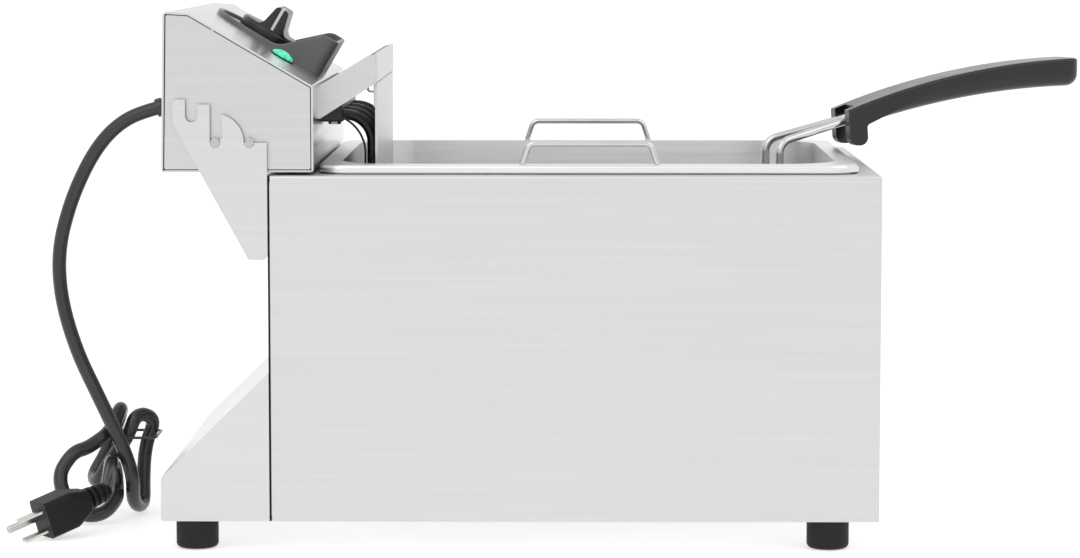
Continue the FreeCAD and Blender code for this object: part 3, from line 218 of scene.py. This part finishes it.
def brushed_stainless(name, light, dark, rough, line_mm=2.0, seam_shade_from=None):
    """Stainless sheet with a brushed finish: fine straight lines along the sheet that spread its reflections,
    drawn coarser than real ones so that they show. Past the given distance from the middle, the sheet is
    painted dark, as painted shade in the groove at its edge."""
    material, tree, shader = new_material(name)
    place = add_node(tree, "ShaderNodeTexCoord").outputs["Object"]
    normal = add_node(tree, "ShaderNodeNewGeometry").outputs["Normal"]
    facing = add_node(tree, "ShaderNodeSeparateXYZ", Vector=normal).outputs["X"]
    endways = add_node(tree, "ShaderNodeMath", {"operation": "ABSOLUTE"}, _0=facing).outputs["Value"]
    fine = 1000 / line_mm
    coarse = 1000 / BRUSH_LENGTH
    noise = {"Scale": 1.0, "Detail": 3.0, "Roughness": 0.65}
    lengthways = {"Scale": (coarse, fine, fine)}
    crossways = {"Scale": (fine, coarse, fine)}
    along = add_node(tree, "ShaderNodeMapping", lengthways, Vector=place).outputs["Vector"]
    across = add_node(tree, "ShaderNodeMapping", crossways, Vector=place).outputs["Vector"]
    lines = add_node(tree, "ShaderNodeTexNoise", noise, Vector=along).outputs["Fac"]
    end_lines = add_node(tree, "ShaderNodeTexNoise", noise, Vector=across).outputs["Fac"]
    either = {"data_type": "FLOAT"}
    grain = add_node(tree, "ShaderNodeMix", either, _0=endways, _2=lines, _3=end_lines).outputs[0]
    size = {"Scale": 1000 / CLOUD, "Detail": 2.0}
    cloud = add_node(tree, "ShaderNodeTexNoise", size, Vector=place).outputs["Fac"]
    tones = {"data_type": "RGBA", 6: hex_colour(dark), 7: hex_colour(light)}
    colour = add_node(tree, "ShaderNodeMix", tones, _0=grain).outputs[2]
    # Painted shade: past the given distance, the edge that lies in the groove is coloured dark
    if seam_shade_from:
        side = add_node(tree, "ShaderNodeSeparateXYZ", Vector=place).outputs["Y"]
        out = add_node(tree, "ShaderNodeMath", {"operation": "ABSOLUTE"}, _0=side).outputs["Value"]
        edge = add_node(tree, "ShaderNodeMath", {"operation": "GREATER_THAN", 1: seam_shade_from * MM}, _0=out)
        seam_shade_mix = {"data_type": "RGBA", 7: hex_colour(SEAM_SHADE_TONE)}
        colour = add_node(tree, "ShaderNodeMix", seam_shade_mix, _0=edge.outputs["Value"], _6=colour).outputs[2]
    tree.links.new(colour, shader.inputs["Base Color"])
    shader.inputs["Metallic"].default_value = 1.0
    worn = add_node(tree, "ShaderNodeMath", {"operation": "MULTIPLY"}, _0=grain, _1=cloud).outputs["Value"]
    gloss = {"From Max": MOST_WORN, "To Min": rough - METAL_SWING, "To Max": rough + METAL_SWING}
    spread = add_node(tree, "ShaderNodeMapRange", gloss, Value=worn).outputs["Result"]
    tree.links.new(spread, shader.inputs["Roughness"])
    relief = {"Strength": BRUSH_BUMP, "Distance": GRAIN_DEPTH * MM}
    bump = add_node(tree, "ShaderNodeBump", relief, Height=grain)
    tree.links.new(bump.outputs["Normal"], shader.inputs["Normal"])
    return material


def bright_metal(name, light, dark, rough, mark_mm=20.0):
    """Plated or drawn metal: smooth and bright, with faint handling marks that change its tone and gloss."""
    material, tree, shader = new_material(name)
    place = add_node(tree, "ShaderNodeTexCoord").outputs["Object"]
    size = {"Scale": 1000 / mark_mm, "Detail": 5.0}
    marks = add_node(tree, "ShaderNodeTexNoise", size, Vector=place).outputs["Fac"]
    tones = {"data_type": "RGBA", 6: hex_colour(dark), 7: hex_colour(light)}
    tree.links.new(add_node(tree, "ShaderNodeMix", tones, _0=marks).outputs[2], shader.inputs["Base Color"])
    shader.inputs["Metallic"].default_value = 1.0
    gloss = {"To Min": rough - METAL_SWING, "To Max": rough + METAL_SWING}
    spread = add_node(tree, "ShaderNodeMapRange", gloss, Value=marks).outputs["Result"]
    tree.links.new(spread, shader.inputs["Roughness"])
    return material


def moulded_plastic(name, light, dark, rough, grit_mm=0.6, bump_depth=0.05, ior=1.5):
    """Moulded plastic or rubber: an even colour with the mould's fine grain, which softens its highlights."""
    material, tree, shader = new_material(name)
    place = add_node(tree, "ShaderNodeTexCoord").outputs["Object"]
    grit_size = {"Scale": 1000 / grit_mm, "Detail": 2.0}
    scuff_size = {"Scale": 1000 / SCUFF, "Detail": 4.0}
    grit = add_node(tree, "ShaderNodeTexNoise", grit_size, Vector=place).outputs["Fac"]
    scuffs = add_node(tree, "ShaderNodeTexNoise", scuff_size, Vector=place).outputs["Fac"]
    tones = {"data_type": "RGBA", 6: hex_colour(dark), 7: hex_colour(light)}
    tree.links.new(add_node(tree, "ShaderNodeMix", tones, _0=scuffs).outputs[2], shader.inputs["Base Color"])
    gloss = {"To Min": rough - PLASTIC_SWING, "To Max": rough + PLASTIC_SWING}
    spread = add_node(tree, "ShaderNodeMapRange", gloss, Value=scuffs).outputs["Result"]
    tree.links.new(spread, shader.inputs["Roughness"])
    shader.inputs["IOR"].default_value = ior
    relief = {"Strength": bump_depth, "Distance": GRAIN_DEPTH * MM}
    bump = add_node(tree, "ShaderNodeBump", relief, Height=grit)
    tree.links.new(bump.outputs["Normal"], shader.inputs["Normal"])
    return material


def lit_lens(name, light, dark):
    """Clear polycarbonate with moulded facets over a neon lamp: glossy, with light from inside."""
    material, tree, shader = new_material(name)
    place = add_node(tree, "ShaderNodeTexCoord").outputs["Object"]
    size = {"Scale": 1000 / LENS_FACET}
    facets = add_node(tree, "ShaderNodeTexVoronoi", size, Vector=place).outputs["Distance"]
    tones = {"data_type": "RGBA", 6: hex_colour(light), 7: hex_colour(dark)}
    colour = add_node(tree, "ShaderNodeMix", tones, _0=facets).outputs[2]
    tree.links.new(colour, shader.inputs["Base Color"])
    tree.links.new(colour, shader.inputs["Emission Color"])
    shader.inputs["Emission Strength"].default_value = LENS_GLOW
    shader.inputs["Roughness"].default_value = LENS_ROUGH
    shader.inputs["IOR"].default_value = LENS_IOR
    return material


# Stainless sheet, brushed lengthways: a soft, even light grey with faint lines
casing_steel = brushed_stainless("brushed stainless sheet", "#d5d5d5", "#c8c8c8", 0.40)
# The rear panel's sheet, its edge painted dark as the shade in the groove beside the casing
panel_steel = brushed_stainless(
    "brushed stainless rear panel", "#d5d5d5", "#c8c8c8", 0.40, seam_shade_from=REAR_PANEL_HALF - SEAM_SHADE_WIDTH
)
# The stand's sheet, less brushed, so that its slope shines where it is seen edge on
stand_steel = brushed_stainless("satin stainless stand", "#d2d2d2", "#c6c6c6", 0.20)
# The thinner sheet of the head's sides and its hanger, brushed darker
head_steel = brushed_stainless("brushed stainless head sheet", "#d0d0d0", "#c2c2c2", 0.36)
# The head's wrap, of the same sheet but polished further, so that its folds and its front shine
wrap_steel = brushed_stainless("satin stainless head wrap", "#d6d6d6", "#cacaca", 0.22)
# A drawn pan, satin after drawing: bright all over, with lines further apart
tank_steel = brushed_stainless("drawn stainless pan", "#f2f2f2", "#d4d4d4", 0.31, line_mm=3.2)
# Steel wire, nickel-plated after welding: nearly a mirror
plated_wire = bright_metal("nickel-plated wire", "#d4d4d3", "#bdbdbc", 0.18)
# Zinc-plated steel fasteners: greyer and a little cloudy
zinc_screw = bright_metal("zinc-plated steel", "#a9a9a8", "#868685", 0.22, mark_mm=4.0)
# Turned stainless pins, bright on their faces
turned_pin = bright_metal("turned stainless pin", "#c4c4c3", "#aeaead", 0.20, mark_mm=4.0)
# Plug pins, nickel-plated brass with a trace of yellow
plug_blade = bright_metal("nickel-plated brass", "#d0cfca", "#bab8b1", 0.20, mark_mm=8.0)
# Heating tubes, black from oxide but still smooth
element_oxide = bright_metal("oxidised heating tube", "#3e3d3c", "#282726", 0.24, mark_mm=9.0)
# Capillaries and bulbs, darkened by hot oil
sensor_tube = bright_metal("darkened capillary tube", "#4b4946", "#353330", 0.30, mark_mm=9.0)
# Phenolic resin, moulded: hard and black, and pale where light grazes it
black_phenolic = moulded_plastic("black phenolic moulding", "#1e1e1f", "#151516", 0.30)
# The guard's moulding, of the knob's phenolic but painted a paler grey: a painted sheen for light grazing its
# top
guard_phenolic_painted_sheen = moulded_plastic("phenolic guard with painted sheen", "#6c6c6d", "#5c5c5d", 0.32)
# The grip's glass-filled nylon, with a slightly coarser grain
grip_nylon = moulded_plastic("black nylon grip", "#101011", "#0a0a0b", 0.25, grit_mm=0.8)
# Rubber: dull and a little uneven
foot_rubber = moulded_plastic(
    "black foot rubber", "#121212", "#0a0a0a", 0.62, grit_mm=0.9, bump_depth=0.1, ior=1.4
)
# The cord's vinyl jacket: smooth, with long soft highlights
cord_vinyl = moulded_plastic(
    "black vinyl cord jacket", "#343435", "#272728", 0.25, grit_mm=1.2, bump_depth=0.04
)
# The plug's vinyl, moulded in a rougher tool: blacker and duller than the cord
plug_vinyl = moulded_plastic(
    "black vinyl plug", "#0b0b0c", "#070708", 0.46, grit_mm=0.7, bump_depth=0.08, ior=1.35
)
# Urea and glass-filled plastics inside the head and on the dial: pale grey, dull
pale_plastic = moulded_plastic("pale dial plastic", "#c9c9c6", "#bcbcb9", 0.42)
# Printing inks
white_ink = moulded_plastic("white ink", "#e6e6e4", "#d8d8d5", 0.5)
dark_ink = moulded_plastic("dark ink", "#2c2c2e", "#242426", 0.5)
# The pilot lamp, lit
lamp_green = lit_lens("green lamp lens", "#4ff0c8", "#06976f")

FINISHES = {
    casing_steel: ["body_casing", "base_plate", "bracket_near", "bracket_far"],
    panel_steel: ["rear_panel"],
    stand_steel: ["rear_stand"],
    head_steel: ["head_side_near", "head_side_far", "head_base", "hanger", "guard_plate"],
    wrap_steel: ["head_wrap"],
    tank_steel: ["oil_tank"],
    plated_wire: [
        "tank_handle_near", "tank_handle_far", "basket_rim", "basket_hoops", "handle_rods", "wire_hook",
    ],
    zinc_screw: [
        "bracket_screws", "head_screws", "hanger_screws", "foot_screws", "element_nuts", "thermostat_shaft",
    ],
    turned_pin: ["pivot_pin_near", "pivot_pin_far", "locating_pin_near", "locating_pin_far"],
    plug_blade: ["plug_pins"],
    element_oxide: ["element_near", "element_far", "element_braces"],
    sensor_tube: ["thermostat_sensor", "limiter_sensor"],
    black_phenolic: ["knob", "element_block", "lamp_bezel", "interlock_switch"],
    guard_phenolic_painted_sheen: ["knob_guard"],
    grip_nylon: ["grip"],
    foot_rubber: ["foot_front_near", "foot_front_far", "foot_rear_near", "foot_rear_far"],
    cord_vinyl: ["strain_relief", "cord_tie"],
    plug_vinyl: ["plug_body"],
    pale_plastic: ["dial_plate", "thermostat", "limiter", "terminal_strip"],
    white_ink: ["knob_line"],
    lamp_green: ["lamp_lens"],
}
for material, names in FINISHES.items():
    for name in names:
        nodes[name].data.materials.clear()
        nodes[name].data.materials.append(material)


# Camera

def place_camera():
    """The camera at the photograph's viewing angle."""
    data = bpy.data.cameras.new("camera")
    data.lens = CAMERA_LENS
    data.clip_end = CAMERA_REACH * MM
    camera = bpy.data.objects.new("camera", data)
    camera.location = at(*CAMERA_PLACE)
    camera.rotation_euler = (math.radians(90 - CAMERA_PITCH), 0, math.radians(CAMERA_YAW))
    bpy.context.scene.collection.objects.link(camera)
    bpy.context.scene.camera = camera


place_camera()


# Power cord

def hank_quarters():
    """The quarter points of the tied loops, then the loose loop, in the order that the cord takes them."""
    points = [Vector(HANK_START)]
    side = Vector((0, HANK_HALF, 0))
    for i, (bottom, top) in enumerate(HANK_LOOPS):
        bottom, top = Vector(bottom), Vector(top)
        if i:
            points.append((points[-1] + bottom) / 2 - side)
        points += [bottom, (bottom + top) / 2 + side, top]
    return points + [Vector(point) for point in LOOSE_LOOP]


def quarter_reach(start, heading, end, way):
    """How far the cord keeps its heading past a quarter point, for two even bends to the next."""
    gap = end - start
    pull = gap.dot(heading + way)
    spare = 2 * (1 - heading.dot(way))
    return (math.sqrt(pull * pull + spare * gap.dot(gap)) - pull) / spare


def hank_route():
    """The hank's turns, two points to each quarter, on the headings of the quarter points at its ends."""
    quarters = hank_quarters()
    lead_end, tail_start = Vector(LEAD_POINTS[-1]), Vector(TAIL_POINTS[0])
    headings = [(after - before).normalized() for before, after in zip(quarters, quarters[2:])]
    headings.insert(0, (quarters[0] - lead_end).normalized())
    headings.append((tail_start - quarters[-1]).normalized())
    route = []
    for i in range(len(quarters) - 1):
        reach = quarter_reach(quarters[i], headings[i], quarters[i + 1], headings[i + 1])
        route.append(quarters[i] + headings[i] * reach)
        route.append(quarters[i + 1] - headings[i + 1] * reach)
    return route


def cord_guide():
    """The cord's smooth line from the head through its hank to the plug, as a curve with no thickness."""
    route = [CORD_EXIT] + LEAD_POINTS + hank_route() + TAIL_POINTS + [PLUG_REAR]
    curve = bpy.data.curves.new("cord_route", "CURVE")
    curve.dimensions = "3D"
    curve.resolution_u = CORD_STEPS
    spline = curve.splines.new("NURBS")
    spline.points.add(len(route) - 1)
    for point, place in zip(spline.points, route):
        point.co = (*at(*place), 1.0)
    spline.order_u = 3
    spline.use_endpoint_u = True
    guide = bpy.data.objects.new("cord_guide", curve)
    bpy.context.scene.collection.objects.link(guide)
    return guide


def power_cord():
    """The cord as one tube along its line."""
    guide = cord_guide()
    line = bpy.data.meshes.new_from_object(guide)
    path = []
    for vertex in line.vertices:
        if not path or (vertex.co - path[-1]).length > LEAST_STEP * MM:
            path.append(vertex.co.copy())
    guide.data.bevel_depth = CORD_DIAMETER / 2 * MM
    guide.data.bevel_resolution = CORD_ROUNDNESS
    guide.data.use_fill_caps = True
    tube = bpy.data.meshes.new_from_object(guide)
    bpy.data.objects.remove(guide)
    tube.name = "power_cord"
    for face in tube.polygons:
        face.use_smooth = True
    tube.materials.clear()
    tube.materials.append(cord_vinyl)
    cord = bpy.data.objects.new("power_cord", tube)
    bpy.context.scene.collection.objects.link(cord)
    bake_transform(cord)
    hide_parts("cord_lead", "cord_hank", "cord_tail")


power_cord()


# Wire basket

def basket_place(a, b, z):
    """A place along the basket's axes, in the part's frame."""
    turn = math.radians(BASKET_TURN)
    return at(BASKET_X + a * math.cos(turn) - b * math.sin(turn), a * math.sin(turn) + b * math.cos(turn), z)


def basket_inset(z):
    """How far the mesh stands inside the rim's outline at a height."""
    return BASKET_TAPER * (BASKET_TOP - z) / (BASKET_TOP - BASKET_FOOT) + MESH_BACK


def rounded_place(share, inset):
    """A point along a rounded rectangle's outline, by its share of the way round."""
    half_a, half_b = BASKET_HALF[0] - inset, BASKET_HALF[1] - inset
    corner = BASKET_CORNER - MESH_BACK
    flat_a, flat_b = half_a - corner, half_b - corner
    arc = corner * math.pi / 2
    way = share * (4 * flat_a + 4 * flat_b + 4 * arc)
    for quarter, flat in enumerate((2 * flat_b, 2 * flat_a, 2 * flat_b, 2 * flat_a)):
        ahead = Matrix.Rotation(math.pi / 2 * quarter, 2)
        out, side = (half_a, flat_b) if quarter % 2 == 0 else (half_b, flat_a)
        if way <= flat:
            return ahead @ Vector((out, way - side))
        way -= flat
        if way <= arc:
            turn = way / corner
            return ahead @ Vector((out - corner + corner * math.cos(turn), side + corner * math.sin(turn)))
        way -= arc
    return Vector((half_a, -flat_b))


def basket_levels():
    """Each ring's height from the top down, and how far it is tucked in by the bend at the foot."""
    straight = MESH_TOP - MESH_FLOOR - MESH_BEND
    rows = round(straight / MESH_PITCH)
    levels = [(MESH_TOP - straight * i / rows, 0.0) for i in range(rows + 1)]
    for degrees in MESH_BEND_TURNS:
        turn = math.radians(degrees)
        levels.append((MESH_FLOOR + MESH_BEND * (1 - math.sin(turn)), MESH_BEND * (1 - math.cos(turn))))
    return levels


def basket_walls(bm):
    """Rings and uprights on the four walls, which turn in at the foot."""
    way = bm.verts.layers.float.new("share")
    girth = 4 * (BASKET_HALF[0] + BASKET_HALF[1] - 2 * BASKET_CORNER) + 2 * math.pi * BASKET_CORNER
    around = round(girth / MESH_PITCH)
    bmesh.ops.create_circle(bm, segments=around, radius=1.0)
    bm.verts.ensure_lookup_table()
    for i, vert in enumerate(bm.verts):
        vert[way] = i / around
    ring = list(bm.edges)
    loop = list(bm.verts)
    for i, (z, tuck) in enumerate(basket_levels()):
        if i:
            made = bmesh.ops.extrude_edge_only(bm, edges=ring)["geom"]
            ring = [g for g in made if isinstance(g, bmesh.types.BMEdge) and all(v in made for v in g.verts)]
            loop = [g for g in made if isinstance(g, bmesh.types.BMVert)]
        for vert in loop:
            spot = rounded_place(vert[way], basket_inset(z) + tuck)
            vert.co = basket_place(spot.x, spot.y, z)


def basket_floor(bm):
    """A square mesh on the floor, drawn in at its corners."""
    inset = basket_inset(MESH_FLOOR) + MESH_BEND
    half_a, half_b = BASKET_HALF[0] - inset, BASKET_HALF[1] - inset
    floor = bmesh.ops.create_grid(
        bm, x_segments=round(2 * half_a / MESH_PITCH), y_segments=round(2 * half_b / MESH_PITCH), size=1.0
    )["verts"]
    corner = BASKET_CORNER - MESH_BACK - MESH_BEND
    for vert in floor:
        a, b = vert.co.x * half_a, vert.co.y * half_b
        past = Vector((max(abs(a) - half_a + corner, 0), max(abs(b) - half_b + corner, 0)))
        if past.length > corner:
            drawn = past * (corner / past.length)
            a -= math.copysign(past.x - drawn.x, a)
            b -= math.copysign(past.y - drawn.y, b)
        vert.co = basket_place(a, b, MESH_FLOOR)


def wire_basket():
    """Welded wire mesh on the walls and the floor."""
    bm = bmesh.new()
    basket_walls(bm)
    basket_floor(bm)
    basket = finish_piece("wire_basket", bm, plated_wire, "basket")
    wires = basket.modifiers.new("wires", "WIREFRAME")
    wires.thickness = MESH_WIRE * MM
    wires.use_even_offset = False
    wires.use_boundary = True
    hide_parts("basket_mesh")


wire_basket()


# Dial marks

def dial_frame():
    """The middle of the dial's printed face, along U, Y and W, in the part's frame."""
    panel = Matrix.Translation(at(PANEL_CORNER[0], 0, PANEL_CORNER[1])) @ Matrix.Rotation(PANEL_SLOPE, 4, "Y")
    return panel @ Matrix.Translation((KNOB_U * MM, 0, (DIAL_TOP + INK_THICK / 2) * MM))


def dial_angle(share):
    """The angle on the dial at a share of the knob's travel."""
    return math.pi + math.radians(DIAL_SWEEP * (share - 0.5))


def dial_ticks():
    """Short bars round the knob, longer at each number."""
    bm = bmesh.new()
    spaces = (len(DIAL_NUMBERS) - 1) * TICKS_PER_NUMBER
    for i in range(spaces + 1):
        long = TICK_LENGTHS[0 if i % TICKS_PER_NUMBER == 0 else 1]
        bar = bmesh.ops.create_cube(bm, size=1.0)["verts"]
        bmesh.ops.scale(bm, vec=(long * MM, TICK_WIDTH * MM, INK_THICK * MM), verts=bar)
        bmesh.ops.translate(bm, vec=((TICK_RADIUS + long / 2) * MM, 0, 0), verts=bar)
        turn = Matrix.Rotation(dial_angle(i / spaces), 3, "Z")
        bmesh.ops.rotate(bm, cent=(0, 0, 0), matrix=turn, verts=bar)
    bmesh.ops.transform(bm, matrix=dial_frame(), verts=bm.verts)
    finish_piece("dial_ticks", bm, dark_ink, "head", smooth=False)


def dial_numbers():
    """The temperatures in degrees Celsius at the long ticks, printed upright to someone at the lower end."""
    bm = bmesh.new()
    for i, number in enumerate(DIAL_NUMBERS):
        words = bpy.data.curves.new("dial_number", "FONT")
        words.body = number
        words.size = DIAL_NUMBER_HEIGHT * MM
        words.align_x = "CENTER"
        words.align_y = "CENTER"
        holder = bpy.data.objects.new("dial_number", words)
        flat = bpy.data.meshes.new_from_object(holder)
        bpy.data.objects.remove(holder)
        angle = dial_angle(i / (len(DIAL_NUMBERS) - 1))
        spot = Vector((math.cos(angle), math.sin(angle), 0)) * DIAL_NUMBER_RADIUS * MM
        flat.transform(Matrix.Translation(spot) @ Matrix.Rotation(math.pi / 2, 4, "Z"))
        bm.from_mesh(flat)
    bmesh.ops.transform(bm, matrix=dial_frame(), verts=bm.verts)
    finish_piece("dial_numbers", bm, dark_ink, "head", smooth=False)


dial_ticks()
dial_numbers()


# Floor, backdrop and light

def floor_finish():
    """A seamless painted floor that reads white and keeps a soft shadow of the fryer."""
    material, tree, shader = new_material("white studio floor")
    place = add_node(tree, "ShaderNodeTexCoord").outputs["Object"]
    size = {"Scale": 1000 / FLOOR_MOTTLE, "Detail": 2.0}
    mottle = add_node(tree, "ShaderNodeTexNoise", size, Vector=place).outputs["Fac"]
    tones = {"data_type": "RGBA", 6: hex_colour(FLOOR_TONES[0]), 7: hex_colour(FLOOR_TONES[1])}
    tree.links.new(add_node(tree, "ShaderNodeMix", tones, _0=mottle).outputs[2], shader.inputs["Base Color"])
    shader.inputs["Roughness"].default_value = FLOOR_ROUGH
    shader.inputs["Emission Color"].default_value = (1, 1, 1, 1)
    shader.inputs["Emission Strength"].default_value = FLOOR_GLOW
    return material


def studio_floor():
    """A wide pale floor, a little under the feet."""
    bm = bmesh.new()
    bmesh.ops.create_grid(bm, x_segments=1, y_segments=1, size=FLOOR_HALF * MM)
    bmesh.ops.translate(bm, vec=(0, 0, -FLOOR_DROP * MM), verts=bm.verts)
    finish_piece("studio_floor", bm, floor_finish(), None, smooth=False)


def studio_surround():
    """An even surround that is white to the eye and in reflections, and lights the object less brightly."""
    world = bpy.data.worlds.new("studio surround")
    bpy.context.scene.world = world
    world.use_nodes = True
    tree = world.node_tree
    tree.nodes.clear()
    rays = add_node(tree, "ShaderNodeLightPath")
    shown = rays.outputs["Is Camera Ray"]
    for kind in ("Is Transmission Ray", "Is Glossy Ray"):
        either = add_node(tree, "ShaderNodeMath", {"operation": "MAXIMUM"}, _0=shown, _1=rays.outputs[kind])
        shown = either.outputs["Value"]
    levels = {"To Min": SURROUND, "To Max": 1.0}
    strength = add_node(tree, "ShaderNodeMapRange", levels, Value=shown).outputs["Result"]
    back = add_node(tree, "ShaderNodeBackground", {"Color": (1, 1, 1, 1)}, Strength=strength)
    add_node(tree, "ShaderNodeOutputWorld", Surface=back.outputs["Background"])


def studio_lamps():
    """Large soft lamps, all aimed at the middle of the fryer."""
    for name, place, width, power in LAMPS:
        data = bpy.data.lights.new(name, "AREA")
        data.size = width * MM
        data.energy = power
        lamp = bpy.data.objects.new(name, data)
        lamp.location = at(*place)
        aim = at(*LAMP_AIM) - lamp.location
        lamp.rotation_euler = aim.to_track_quat("-Z", "Y").to_euler()
        bpy.context.scene.collection.objects.link(lamp)


studio_floor()
studio_surround()
studio_lamps()
bpy.context.scene.view_settings.view_transform = "Standard"

bpy.context.view_layer.update()
